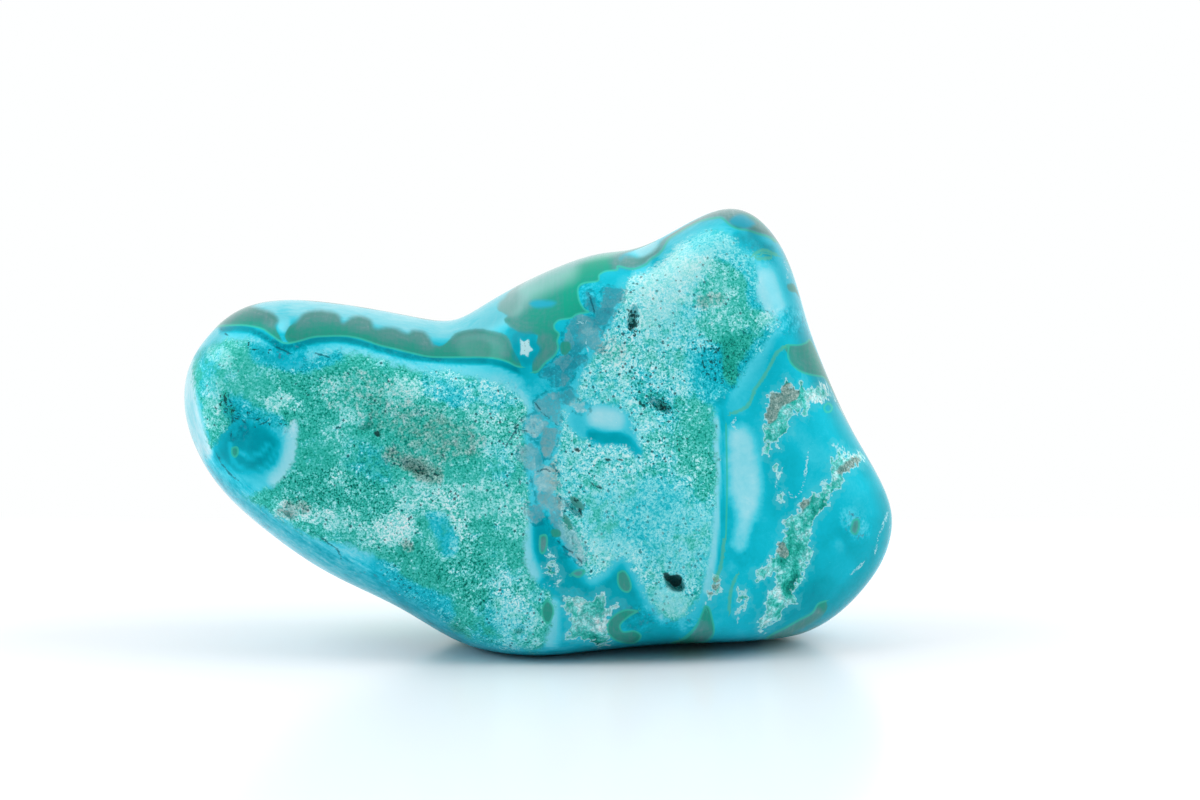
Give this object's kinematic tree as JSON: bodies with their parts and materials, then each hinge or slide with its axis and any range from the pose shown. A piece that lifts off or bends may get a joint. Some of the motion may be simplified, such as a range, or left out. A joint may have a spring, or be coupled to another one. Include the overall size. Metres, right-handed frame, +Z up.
{
  "type": "chrysocolla specimen",
  "caption": "Polished freeform of blue-green chrysocolla with banded malachite, standing on a flat cut in its underside.",
  "frame": {"origin": "on the surface it rests on, below the middle of the stone's bounding box", "axes": "+X to the right across the broad front face, +Y to the back, +Z up"},
  "size_m": [0.0846, 0.0375, 0.0517],
  "materials": {
    "stone": "polished"
  },
  "bodies": {
    "root": {"stone": "stone"}
  },
  "joints": []
}
